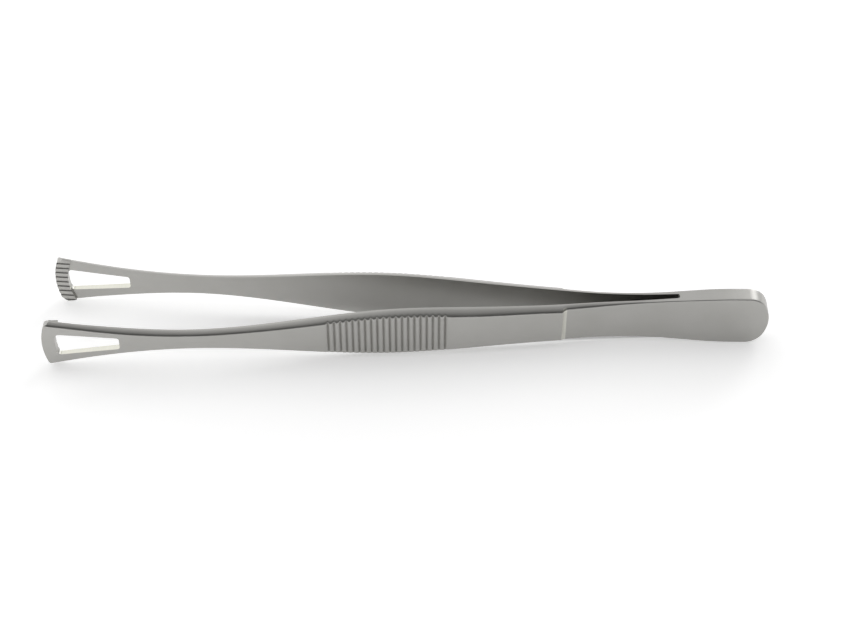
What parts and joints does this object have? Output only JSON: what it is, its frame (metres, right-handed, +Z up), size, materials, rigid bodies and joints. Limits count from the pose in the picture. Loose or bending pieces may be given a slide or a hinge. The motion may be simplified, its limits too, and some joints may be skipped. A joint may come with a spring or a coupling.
{
  "type": "duval tissue forceps",
  "caption": "Spring-arm tissue forceps with broad windowed jaws, toothed tips, ribbed thumb grips and a welded butt; squeezing the arms closes the jaws.",
  "frame": {"origin": "on the table under the middle of the length, in the mirror plane of the two arms, with the forceps lying on the edges of its strips", "axes": "+X along the length from the jaws to the butt, +Y across the opening towards the back arm, +Z up across the strips"},
  "size_m": [0.15, 0.0208, 0.0124],
  "materials": {
    "satin_steel": "fine bead-blasted satin stainless steel, edges slightly brighter"
  },
  "bodies": {
    "butt": {"butt": "satin_steel"},
    "front_arm": {"front_arm": "satin_steel"},
    "back_arm": {"back_arm": "satin_steel"}
  },
  "joints": [
    {"name": "front_arm_squeeze", "type": "hinge", "parent": "butt", "child": "front_arm", "pos_m": [0.0545, -0.00065, 0.0062], "axis": [0, 0, -1], "range_deg": [0, 3.9], "stiffness_Nm_per_rad": 4.5},
    {"name": "back_arm_squeeze", "type": "hinge", "parent": "butt", "child": "back_arm", "pos_m": [0.0545, 0.00065, 0.0062], "axis": [0, 0, 1], "range_deg": [0, 3.9], "stiffness_Nm_per_rad": 4.5}
  ]
}
